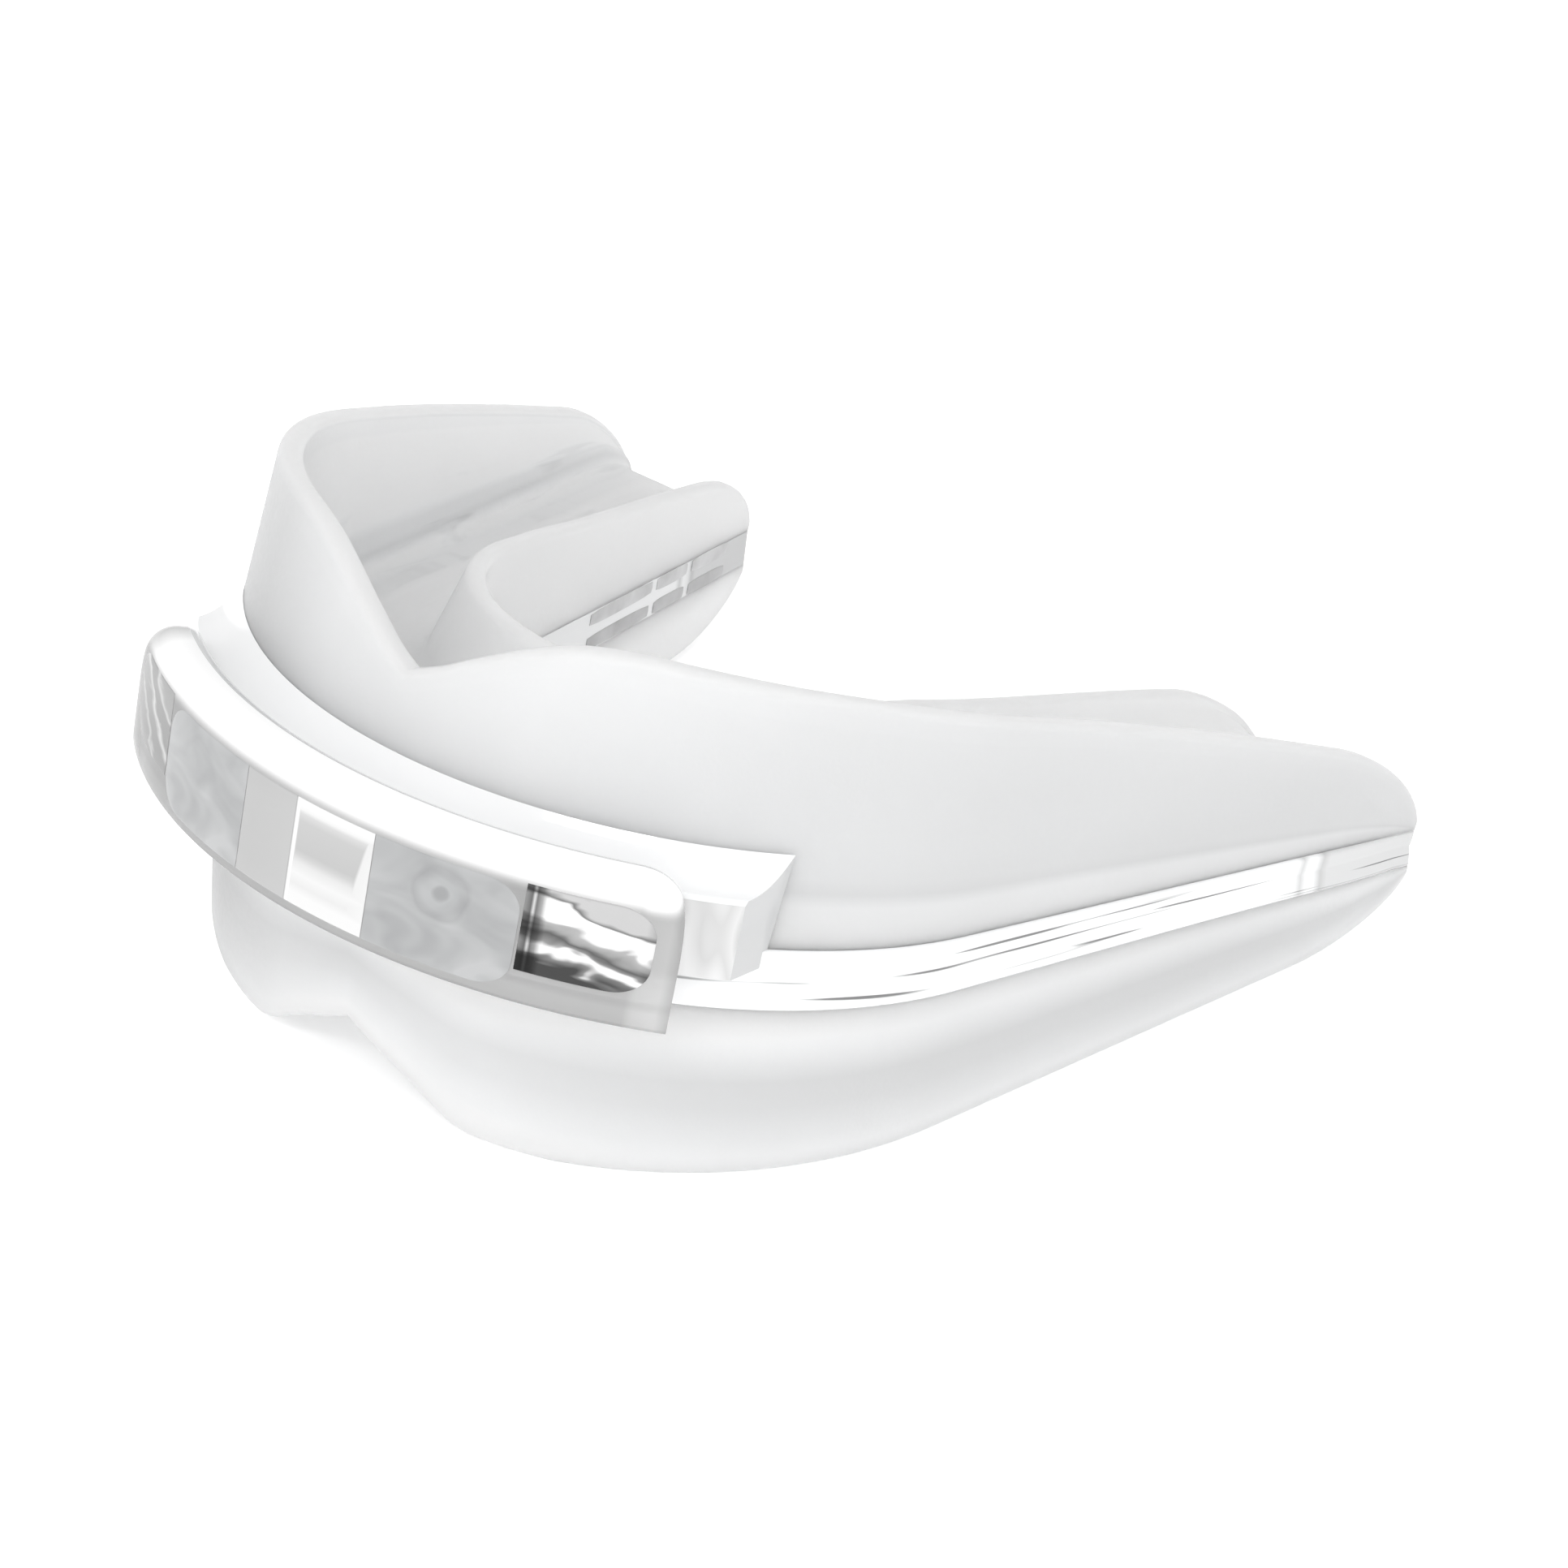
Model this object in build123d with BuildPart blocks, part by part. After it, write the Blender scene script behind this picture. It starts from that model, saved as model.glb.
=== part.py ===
"""Double mouthguard for boxing: two soft tooth trays on a stiff clear core, with a bumper in front.

The model is drawn in the bite frame, where z = 0 is the plane between the upper and lower teeth,
+X is the wearer's left, -Y the front and +Z up. At the end every piece is tilted and lifted to the
pose in which the guard rests on a table, on the straight lower edges of its two arms.
"""

import math
import os

from build123d import *

os.makedirs("parts", exist_ok=True)

# Arch: the outer outline of the bite, an arc that runs out into two straight legs (mm, degrees)
arch_radius = 25.4
arch_centre_y = -1.6
leg_turn = 78.5
leg_length = 38
arm_width = 13

# Core frame: the stiff horseshoe between the trays, its rear ends rounded in the side view
core_top = 1.0
core_bottom = -2.3
core_proud = 0.25
core_web = 0.5
core_end_y = 30.2
core_nose = 2.4

# Trays: U-shaped troughs, whose walls lean back towards the gums
wall_lean = 8.5
outer_wall = 2.6
inner_wall = 2.2
floor_thickness = 1.8
tray_rise = 18
rear_tip_y = 30.8
front_y = -36
past_all = 40

# Bumper and the neck that carries it, turned about one upright axis
bumper_axis_y = -1.0
bumper_radius = 30.5
bumper_back_radius = 27.7
bumper_half_angle = 39.5
bumper_bottom = -2.1
bumper_top = 5.6
bumper_skin = 1.0
bumper_corner = 2.2
bumper_brow = 1.3
cell_bottom = -0.8
cell_top = 4.2
middle_cell_start = 8
middle_cell_arc = 15
end_cell_start = 24.5
end_cell_arc = 12
post_half_angle = 6.3
post_root_radius = 22
neck_half_width = 19.4
neck_front_top = 4.5
neck_wall_top = 6.2
neck_wall_radius = 25.1
neck_hollow = (25.9, 4.95)
neck_half_angle = 55

# Bite pads: ribbed strips let into the core under the molars, open to the tongue side
pad_width = 8.4
pad_station = 24
pad_base = 0.5
pad_cells = [8.1, 4.2, 5.1]
pad_gap = 0.7
fit_gap = 0.1

# Resting pose: front up by the slope of the lower edges
rest_tilt = 9.0
lobe_depth = 14.05
lobe_y = -22
lobe_drop = 0.15
edge_end_y = 24


def leg_point(offset, along, side):
    """Point on a leg, `offset` outside the bite outline and `along` past the end of the arc."""
    turn = math.radians(leg_turn)
    radius = arch_radius + offset
    x = radius * math.sin(turn) + along * math.cos(turn)
    y = arch_centre_y - radius * math.cos(turn) + along * math.sin(turn)
    return (side * x, y)


def arch_strip(z, outer, inner):
    """Flat horseshoe at height z between two offsets of the bite outline (outward is positive)."""
    with BuildSketch(Plane.XY.offset(z)) as strip:
        with BuildLine():
            for offset in (outer, inner):
                left = leg_point(offset, 0, -1)
                right = leg_point(offset, 0, 1)
                front = (0, arch_centre_y - arch_radius - offset)
                Line(leg_point(offset, leg_length, -1), left)
                ThreePointArc(left, front, right)
                Line(right, leg_point(offset, leg_length, 1))
            for side in (-1, 1):
                Line(leg_point(outer, leg_length, side), leg_point(inner, leg_length, side))
        make_face()
    return strip.sketch


def side_region(points, base):
    """Region of the side view between z = base and an edge: a front run, a run along the arm, which
    is an arc where it has a middle point and straight where it has none, and a rounded end."""
    front, run_start, *middle, run_end = points
    with BuildSketch(Plane.YZ) as region:
        with BuildLine():
            Polyline((front[0], base), front, run_start)
            if middle:
                arm_run = ThreePointArc(run_start, *middle, run_end)
            else:
                arm_run = Line(run_start, run_end)
            TangentArc(run_end, (rear_tip_y, base), tangent=arm_run % 1)
            Line((rear_tip_y, base), (front[0], base))
        make_face()
    return region.sketch


def frenum_notch(points, base):
    """Notch for the lip frenum in the middle of the front wall, open at z = base."""
    half = [(x, z) for x, z in points if x > 0]
    with BuildSketch(Plane.XZ) as notch:
        with BuildLine():
            Spline(*[(-x, z) for x, z in reversed(half)], points[0], *half)
            Polyline(half[-1], (half[-1][0], base), (-half[-1][0], base), (-half[-1][0], half[-1][1]))
        make_face()
    return notch.sketch


bumper_axis = Axis((0, bumper_axis_y, 0), (0, 0, 1))


def ring_plane(start_angle):
    """Upright plane through the bumper axis, turned from the front, with its x pointing outward."""
    turn = math.radians(start_angle)
    outward = (math.sin(turn), -math.cos(turn), 0)
    normal = (-math.cos(turn), -math.sin(turn), 0)
    return Plane((0, bumper_axis_y, 0), x_dir=outward, z_dir=normal)


def ring_block(start_angle, radii, heights):
    """Upright rectangle in a ring plane, between two radii and two heights."""
    with BuildSketch(ring_plane(start_angle)) as section:
        with Locations(((radii[0] + radii[1]) / 2, (heights[0] + heights[1]) / 2)):
            Rectangle(radii[1] - radii[0], heights[1] - heights[0])
    return section.sketch


def build_tray(up, base, edge, lingual, notch):
    """One tray: `up` is 1 for the upper arch and -1 for the lower, base its face on the core."""
    lean = (0, math.tan(math.radians(wall_lean)), up)
    run = tray_rise / math.cos(math.radians(wall_lean))
    trough_inner = inner_wall - arm_width
    with BuildPart() as tray:
        extrude(arch_strip(base, trough_inner, -arm_width), amount=run, dir=lean)
        extrude(side_region(lingual, base), amount=past_all, both=True, mode=Mode.INTERSECT)
        extrude(arch_strip(base, 0, -outer_wall), amount=run, dir=lean)
        extrude(arch_strip(base, 0, -arm_width), amount=floor_thickness, dir=lean)
        extrude(side_region(edge, base), amount=past_all, both=True, mode=Mode.INTERSECT)
        extrude(frenum_notch(notch, up * tray_rise), amount=past_all, both=True, mode=Mode.SUBTRACT)
    return tray.part


# Upper tray: (y, z) of its outer and inner edges, and (x, z) of its notch
upper_edge = [(front_y, 14.8), (-21, 14.8), (4, 11.5), (24, 6.6)]
upper_lingual = [(front_y, 8.7), (-14, 8.7), (6, 7.6), (24.5, 5.6)]
upper_notch = [(0, 10.5), (3.5, 12.2), (7.5, 14.2), (11, 15)]
with BuildPart() as upper_tray:
    add(build_tray(1, core_top, upper_edge, upper_lingual, upper_notch))
upper_tray.part.label = "upper_tray"

# Lower tray: its outer edge runs straight at the resting slope, from the front lobes to the rear
slope = math.tan(math.radians(rest_tilt))
edge_end = (edge_end_y, slope * (edge_end_y - lobe_y) - lobe_depth)
lower_edge = [(front_y, -lobe_depth - lobe_drop), (lobe_y, -lobe_depth), edge_end]
lower_lingual = [(front_y, -8.2), (-14, -8.2), (6, -7.4), (24, -6.0)]
lower_notch = [(0, -10.2), (3.5, -11.9), (7.5, -14), (11, -15)]
with BuildPart() as lower_tray:
    add(build_tray(-1, core_bottom, lower_edge, lower_lingual, lower_notch))
lower_tray.part.label = "lower_tray"


def arm_plane(side, z):
    """Plane on the inner edge of an arm under the molars, with its x along the arm. Its y points
    away from the tongue on the right arm and towards it on the left."""
    turn = math.radians(leg_turn)
    x, y = leg_point(-arm_width, pad_station, side)
    return Plane((x, y, z), x_dir=(side * math.cos(turn), math.sin(turn), 0), z_dir=(0, 0, 1))


def pad_sketch(side, z, start, length, width, reach):
    """Rectangle on an arm from its inner edge outwards, `reach` past that edge."""
    with BuildSketch(arm_plane(side, z)) as sketch:
        with Locations((start + length / 2, side * (reach - width) / 2)):
            Rectangle(length, width + reach)
    return sketch.sketch


# Core frame, with a shallow recess for each bite pad above and below a thin web
web_middle = (core_top + core_bottom) / 2
recess_depth = (core_top - core_bottom - core_web) / 2
pad_length = sum(pad_cells) + (len(pad_cells) - 1) * pad_gap
pad_start = -pad_length / 2
with BuildPart() as core_frame:
    extrude(
        arch_strip(core_bottom, core_proud, -arm_width),
        amount=core_top - core_bottom,
    )
    with BuildSketch(Plane.YZ) as core_side:
        with BuildLine():
            nose_y = core_end_y - core_nose
            ThreePointArc((nose_y, core_top), (core_end_y, web_middle), (nose_y, core_bottom))
            Polyline(
                (nose_y, core_bottom), (front_y, core_bottom), (front_y, core_top), (nose_y, core_top)
            )
        make_face()
    extrude(core_side.sketch, amount=past_all, both=True, mode=Mode.INTERSECT)
    for side in (-1, 1):
        for recess_z in (core_top - recess_depth, core_bottom):
            recess = pad_sketch(
                side, recess_z, pad_start - fit_gap, pad_length + 2 * fit_gap,
                pad_width + fit_gap, 1,
            )
            extrude(recess, amount=recess_depth, mode=Mode.SUBTRACT)
core_frame.part.label = "core_frame"

# Bite pads: a thin base with a row of cells, one pad above and one below the web of each arm
pad_parts = []
for side, side_name in ((-1, "right"), (1, "left")):
    for up, arch_name in ((1, "upper"), (-1, "lower")):
        pad_z = web_middle + up * core_web / 2
        with BuildPart() as pad:
            extrude(pad_sketch(side, pad_z, pad_start, pad_length, pad_width, 0), amount=pad_base * up)
            cell_start = pad_start
            for cell_length in pad_cells:
                cell = pad_sketch(side, pad_z, cell_start, cell_length, pad_width, 0)
                extrude(cell, amount=recess_depth * up)
                cell_start += cell_length + pad_gap
        pad.part.label = side_name + "_" + arch_name + "_bite_pad"
        pad_parts.append(pad.part)

# Bumper neck: an arc-shaped shelf with a concave top, shaped to the front of the tray and core
lean_up = (0, math.tan(math.radians(wall_lean)), 1)
post_sweep = 2 * post_half_angle

with BuildPart() as bumper_neck:
    with BuildSketch(ring_plane(-neck_half_angle)) as neck_section:
        with BuildLine():
            Polyline(
                (neck_wall_radius, neck_wall_top), (post_root_radius, neck_wall_top),
                (post_root_radius, 0), (bumper_back_radius, 0), (bumper_back_radius, neck_front_top),
            )
            ThreePointArc(
                (bumper_back_radius, neck_front_top), neck_hollow, (neck_wall_radius, neck_wall_top)
            )
        make_face()
    revolve(neck_section.sketch, axis=bumper_axis, revolution_arc=2 * neck_half_angle)
    with BuildSketch(Plane.XZ) as neck_width:
        Rectangle(2 * neck_half_width, past_all)
    extrude(neck_width.sketch, amount=past_all, mode=Mode.INTERSECT)
    revolve(
        ring_block(-post_half_angle, (0, bumper_radius), (-1, cell_top)),
        axis=bumper_axis, revolution_arc=post_sweep, mode=Mode.SUBTRACT,
    )
    extrude(arch_strip(core_top, 0, -arm_width), amount=tray_rise, dir=lean_up, mode=Mode.SUBTRACT)
    extrude(
        arch_strip(core_bottom, core_proud, -arm_width),
        amount=core_top - core_bottom, mode=Mode.SUBTRACT,
    )
bumper_neck.part.label = "bumper_neck"

# Front bumper: a curved bar with a rounded top, hollowed from the back by air cells and a post slot
hollow_radii = (bumper_back_radius - 1, bumper_radius - bumper_skin)
with BuildPart() as front_bumper:
    revolve(
        ring_block(
            -bumper_half_angle, (bumper_back_radius, bumper_radius), (bumper_bottom, bumper_top)
        ),
        axis=bumper_axis, revolution_arc=2 * bumper_half_angle,
    )
    ends = front_bumper.faces().filter_by(GeomType.PLANE).sort_by(Axis.X)
    fillet([end.edges().sort_by(Axis.Z)[-1] for end in (ends[0], ends[-1])], radius=bumper_corner)
    top_face = front_bumper.faces().sort_by(Axis.Z)[-1]
    fillet(top_face.edges().sort_by(Axis.Y)[0], radius=bumper_brow)
    for start, arc in ((middle_cell_start, middle_cell_arc), (end_cell_start, end_cell_arc)):
        for first in (start, -start - arc):
            revolve(
                ring_block(first, hollow_radii, (cell_bottom, cell_top)),
                axis=bumper_axis, revolution_arc=arc, mode=Mode.SUBTRACT,
            )
    revolve(
        ring_block(-post_half_angle, hollow_radii, (bumper_bottom - 1, cell_top)),
        axis=bumper_axis, revolution_arc=post_sweep, mode=Mode.SUBTRACT,
    )
front_bumper.part.label = "front_bumper"

# Centre post: locks the bumper to the core in the middle
with BuildPart() as centre_post:
    revolve(
        ring_block(
            -post_half_angle, (post_root_radius, bumper_radius - bumper_skin),
            (bumper_bottom, cell_top),
        ),
        axis=bumper_axis, revolution_arc=post_sweep,
    )
    extrude(arch_strip(core_top, 0, -arm_width), amount=tray_rise, dir=lean_up, mode=Mode.SUBTRACT)
    extrude(
        arch_strip(core_bottom, core_proud, -arm_width),
        amount=core_top - core_bottom, mode=Mode.SUBTRACT,
    )
centre_post.part.label = "centre_post"

# Tilt every piece to the resting pose, then put the origin under the middle of the whole guard
pieces = [
    upper_tray.part, lower_tray.part, core_frame.part, bumper_neck.part, front_bumper.part,
    centre_post.part, *pad_parts,
]
tilted = Location((0, 0, 0), (-rest_tilt, 0, 0))
box = Compound([piece.moved(tilted) for piece in pieces]).bounding_box()
resting = Location((-box.center().X, -box.center().Y, -box.min.Z)) * tilted
for piece in pieces:
    export_step(piece.moved(resting), "parts/" + piece.label + ".step")
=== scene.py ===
"""Clear double mouthguard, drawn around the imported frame.

Shapes are drawn in millimetres in the bite frame, where z = 0 is the plane between the upper and
lower teeth, +X is the wearer's left and -Y the front. Then they are tilted into the pose in which
the guard rests on a table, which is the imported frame, in metres.
"""

import math

import bmesh
import bpy
import numpy as np
from mathutils import Matrix, Vector


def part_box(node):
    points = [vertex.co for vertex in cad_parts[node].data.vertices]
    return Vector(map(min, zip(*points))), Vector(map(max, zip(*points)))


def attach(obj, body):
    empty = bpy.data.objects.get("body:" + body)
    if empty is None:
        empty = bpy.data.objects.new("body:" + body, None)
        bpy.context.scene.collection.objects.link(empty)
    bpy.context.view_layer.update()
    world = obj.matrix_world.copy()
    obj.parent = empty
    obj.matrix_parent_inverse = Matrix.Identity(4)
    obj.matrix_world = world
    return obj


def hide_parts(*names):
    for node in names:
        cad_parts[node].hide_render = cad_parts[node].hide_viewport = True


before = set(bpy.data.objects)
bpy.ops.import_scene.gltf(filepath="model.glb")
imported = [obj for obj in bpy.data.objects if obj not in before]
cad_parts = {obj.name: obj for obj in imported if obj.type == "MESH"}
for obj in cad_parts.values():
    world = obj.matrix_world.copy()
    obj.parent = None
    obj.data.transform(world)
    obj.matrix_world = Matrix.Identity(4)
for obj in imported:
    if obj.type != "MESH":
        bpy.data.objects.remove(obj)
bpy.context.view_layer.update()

MM = 0.001

# Driving sizes of the trays and the core (mm, degrees). The lower tray and the core reach a little
# further back than the CAD's, inside its box.
ARCH_RADIUS = 25.4
ARCH_CENTRE_Y = -1.6
LEG_TURN = math.radians(78.5)
ARM_WIDTH = 13.0
OUTER_WALL = 2.6
INNER_WALL = 2.2
FLOOR_THICKNESS = 1.8
WALL_LEAN = math.tan(math.radians(8.5))
CORE_TOP = 1.0
CORE_BOTTOM = -2.3
CORE_PROUD = 0.25
REAR_TIP_Y = 30.75
LOWER_TIP_Y = 31.15
REST_TILT = math.radians(9.0)

# Driving sizes of the bumper and its neck. Inside the CAD's box, the bar is 0.4 mm taller than the
# CAD's, the neck 0.4 mm wider on each side and the post's window 2.1 degrees wider on each side.
BUMPER_AXIS_Y = -1.0
BUMPER_RADIUS = 30.5
BUMPER_BACK = 27.7
BUMPER_HALF_ANGLE = 39.5
BUMPER_BOTTOM = -2.1
BUMPER_TOP = 6.0
CELL_BOTTOM = -0.8
CELL_TOP = 4.2
POST_VIEW_ANGLE = 8.4
NECK_HALF_WIDTH = 19.8
NECK_FRONT_TOP = 4.5
NECK_WALL_TOP = 6.2

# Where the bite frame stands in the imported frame, found from the core's highest front edge
core_low, core_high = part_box("core_frame")
CORE_FRONT = ARCH_RADIUS + CORE_PROUD - ARCH_CENTRE_Y
TILT_COS = math.cos(REST_TILT)
TILT_SIN = math.sin(REST_TILT)
SHIFT_Y = core_low.y / MM + CORE_FRONT * TILT_COS - CORE_BOTTOM * TILT_SIN
SHIFT_Z = core_high.z / MM - CORE_FRONT * TILT_SIN - CORE_TOP * TILT_COS


def to_world(points):
    """Bite-frame points in millimetres as packed-frame points in metres."""
    x, y, z = np.moveaxis(np.asarray(points, float), -1, 0)
    turned = (x, y * TILT_COS + z * TILT_SIN + SHIFT_Y, z * TILT_COS - y * TILT_SIN + SHIFT_Z)
    return np.stack(turned, -1) * MM


# ---------------------------------------------------------------- curves

ARM_LENGTH = 34
END_CORNER = 0.4
ARC_STEPS = 140
LEG_STEPS = 56


def smooth_curve(knots):
    """Monotone cubic through (place, value) knots, held level beyond both ends."""
    place, value = np.array(knots, float).T
    step = np.diff(place)
    rise = np.diff(value) / step
    slope = np.zeros(len(place))
    same = rise[:-1] * rise[1:] > 0
    before = 2 * step[1:] + step[:-1]
    after = step[1:] + 2 * step[:-1]
    inner = np.zeros(len(same))
    weights = before[same] / rise[:-1][same] + after[same] / rise[1:][same]
    inner[same] = (before + after)[same] / weights
    slope[1:-1] = inner
    slope[0] = rise[0]
    slope[-1] = rise[-1]

    def at(where):
        where = np.clip(where, place[0], place[-1])
        i = np.clip(np.searchsorted(place, where) - 1, 0, len(step) - 1)
        part = (where - place[i]) / step[i]
        rest = 1 - part
        start = (1 + 2 * part) * rest ** 2 * value[i] + part * rest ** 2 * step[i] * slope[i]
        end = part * part * (3 - 2 * part) * value[i + 1] - part * part * rest * step[i] * slope[i + 1]
        return start + end

    return at


def soft_min(a, b, blend):
    """Smaller of two values, with a rounded change-over `blend` wide."""
    mix = np.clip(0.5 + 0.5 * (b - a) / blend, 0, 1)
    return b * (1 - mix) + a * mix - blend * mix * (1 - mix)


def arch_point(offset, station, end_y=REAR_TIP_Y):
    """Point of the bite outline moved out by `offset`. Station runs from -2, the right rear tip,
    over -1 and 1, where the arc meets the legs, to 2, the left rear tip."""
    side = np.sign(station)
    reach = np.abs(station)
    turn = np.minimum(reach, 1) * LEG_TURN
    radius = ARCH_RADIUS + offset
    leg = (end_y - ARCH_CENTRE_Y + radius * math.cos(LEG_TURN)) / math.sin(LEG_TURN)
    along = np.maximum(reach - 1, 0) * leg
    x = side * (radius * np.sin(turn) + along * math.cos(LEG_TURN))
    y = ARCH_CENTRE_Y - radius * np.cos(turn) + along * math.sin(LEG_TURN)
    return x, y


def arm_point(offset, station, end_y):
    """Arch point of a section whose sides draw in at the arm's end, so that it has round corners."""
    from_end = (2 - abs(station)) * ARM_LENGTH
    into = max(0.0, 1 - from_end / END_CORNER)
    pinch = END_CORNER * (1 - math.sqrt(1 - into ** 2))
    return arch_point(offset * (1 - 2 * pinch / ARM_WIDTH) - pinch, station, end_y)


def arch_stations():
    """Stations all round the arch, closer together towards the rear tips."""
    leg = 1 + np.sin(np.linspace(0, math.pi / 2, LEG_STEPS + 1))[1:]
    arc = np.linspace(-1, 1, ARC_STEPS + 1)
    return np.concatenate([-leg[::-1], arc, leg])


def corner(centre, radius, start, end, steps=5):
    """Points of a rounded corner in a section, from one angle to another in degrees."""
    turns = np.radians(np.linspace(start, end, steps + 1))
    return [(centre[0] + radius * math.cos(t), centre[1] + radius * math.sin(t)) for t in turns]


def run(start, end, steps):
    """Points strictly between two section points."""
    return [
        (start[0] + (end[0] - start[0]) * k / steps, start[1] + (end[1] - start[1]) * k / steps)
        for k in range(1, steps)
    ]


# ---------------------------------------------------------------- meshes

SHARP_EDGE = math.radians(38)
MERGE_DISTANCE = 0.004 * MM
FLAT_DISTANCE = 0.002 * MM


def new_piece(name, points, faces, material, wrap=None):
    """Smooth-shaded object from bite-frame points, merged and facing outward. `wrap` gives each
    point its place on the UV map of that name."""
    mesh = bpy.data.meshes.new(name)
    mesh.from_pydata([tuple(p) for p in to_world(points)], [], faces)
    shape = bmesh.new()
    shape.from_mesh(mesh)
    if wrap is not None:
        layer = shape.loops.layers.uv.new("wrap")
        for face in shape.faces:
            for loop in face.loops:
                loop[layer].uv = wrap[loop.vert.index]
    bmesh.ops.remove_doubles(shape, verts=shape.verts, dist=MERGE_DISTANCE)
    bmesh.ops.dissolve_degenerate(shape, edges=shape.edges, dist=FLAT_DISTANCE)
    bmesh.ops.recalc_face_normals(shape, faces=shape.faces)
    for face in shape.faces:
        face.smooth = True
    for edge in shape.edges:
        edge.smooth = edge.calc_face_angle(0) < SHARP_EDGE
    shape.to_mesh(mesh)
    shape.free()
    piece = bpy.data.objects.new(name, mesh)
    bpy.context.scene.collection.objects.link(piece)
    mesh.materials.append(material)
    return piece


def loft(grid):
    """Points and faces of closed sections joined one after another, with both ends capped."""
    rows, columns = grid.shape[:2]
    faces = []
    for row in range(0, (rows - 1) * columns, columns):
        for j in range(columns):
            k = (j + 1) % columns
            faces.append((row + j, row + k, row + columns + k, row + columns + j))
    faces.append(tuple(reversed(range(columns))))
    faces.append(tuple(range((rows - 1) * columns, rows * columns)))
    return grid.reshape(-1, 3), faces


def finish_piece(piece, slot, *nodes):
    """Keep a piece's sharp edges crisp, hide the CAD parts it stands for, and let it ride on the
    guard's one body.
    """
    crisp = piece.modifiers.new("crisp", "WEIGHTED_NORMAL")
    crisp.keep_sharp = True
    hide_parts(*nodes)
    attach(piece, "root")
    return piece


def join_solids(solids):
    """One list of points and faces out of several."""
    points, faces = [], []
    for solid_points, solid_faces in solids:
        start = sum(len(p) for p in points)
        points.append(solid_points)
        faces += [tuple(start + i for i in face) for face in solid_faces]
    return np.concatenate(points), faces


# ---------------------------------------------------------------- materials

CELL_LENGTH = 8.2
CELL_HEIGHT = CELL_TOP - CELL_BOTTOM
GATE_REACH = 3.0
GATE_ALONG = 0.5
GATE_UP = 0.70


def new_material(name):
    """Material with its Principled shader."""
    material = bpy.data.materials.new(name)
    material.use_nodes = True
    nodes = material.node_tree.nodes
    return material, nodes, material.node_tree.links, nodes["Principled BSDF"]


def object_noise(nodes, links, scale, detail, stretch=(1, 1, 1)):
    """Noise in the object's own space, `scale` waves per metre."""
    place = nodes.new("ShaderNodeTexCoord")
    mapping = nodes.new("ShaderNodeMapping")
    mapping.inputs["Scale"].default_value = stretch
    noise = nodes.new("ShaderNodeTexNoise")
    noise.inputs["Scale"].default_value = scale
    noise.inputs["Detail"].default_value = detail
    links.new(place.outputs["Object"], mapping.inputs["Vector"])
    links.new(mapping.outputs["Vector"], noise.inputs["Vector"])
    return noise.outputs["Fac"]


def wrapped_noise(nodes, links, scale, detail, distortion, stretch):
    """Noise laid out on the UV map "wrap"."""
    place = nodes.new("ShaderNodeUVMap")
    place.uv_map = "wrap"
    mapping = nodes.new("ShaderNodeMapping")
    mapping.inputs["Scale"].default_value = stretch
    noise = nodes.new("ShaderNodeTexNoise")
    noise.inputs["Scale"].default_value = scale
    noise.inputs["Detail"].default_value = detail
    noise.inputs["Distortion"].default_value = distortion
    links.new(place.outputs["UV"], mapping.inputs["Vector"])
    links.new(mapping.outputs["Vector"], noise.inputs["Vector"])
    return noise.outputs["Fac"]


def spread(nodes, links, source, low, high):
    """A noise value stretched between two numbers."""
    node = nodes.new("ShaderNodeMapRange")
    node.inputs["From Min"].default_value = 0.3
    node.inputs["From Max"].default_value = 0.7
    node.inputs["To Min"].default_value = low
    node.inputs["To Max"].default_value = high
    links.new(source, node.inputs["Value"])
    return node.outputs["Result"]


def colour_mix(nodes, links, source, first, second):
    """Two colours mixed by a value."""
    ramp = nodes.new("ShaderNodeValToRGB")
    ramp.color_ramp.elements[0].position = 0.3
    ramp.color_ramp.elements[1].position = 0.7
    ramp.color_ramp.elements[0].color = (*first, 1)
    ramp.color_ramp.elements[1].color = (*second, 1)
    links.new(source, ramp.inputs["Fac"])
    return ramp.outputs["Color"]


def bumps(nodes, links, shader, source, height, strength=1.0):
    """Relief on a shader from a value, `height` metres high."""
    bump = nodes.new("ShaderNodeBump")
    bump.inputs["Strength"].default_value = strength
    bump.inputs["Distance"].default_value = height
    links.new(source, bump.inputs["Height"])
    links.new(bump.outputs["Normal"], shader.inputs["Normal"])


def wrap_parts(nodes, links):
    """The two parts of the UV map "wrap", as separate values."""
    place = nodes.new("ShaderNodeUVMap")
    place.uv_map = "wrap"
    split = nodes.new("ShaderNodeSeparateXYZ")
    links.new(place.outputs["UV"], split.inputs["Vector"])
    return split.outputs["X"], split.outputs["Y"]


def tone_ramp(nodes, links, source, stops):
    """Grey tones by a value, through (place, tone) stops."""
    ramp = nodes.new("ShaderNodeValToRGB")
    steps = ramp.color_ramp.elements
    while len(steps) < len(stops):
        steps.new(0.5)
    for step, (place, tone) in zip(steps, stops):
        step.position = place
        step.color = (tone, tone, tone, 1)
    links.new(source, ramp.inputs["Fac"])
    return ramp.outputs["Color"]


def product(nodes, links, first, second, share=None, blend="MULTIPLY"):
    """Two colours multiplied, wholly or by a share, or joined by another blend."""
    mix = nodes.new("ShaderNodeMix")
    mix.data_type = "RGBA"
    mix.blend_type = blend
    mix.inputs["Factor"].default_value = 1.0
    if share is not None:
        links.new(share, mix.inputs["Factor"])
    links.new(first, mix.inputs["A"])
    links.new(second, mix.inputs["B"])
    return mix.outputs["Result"]


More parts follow.
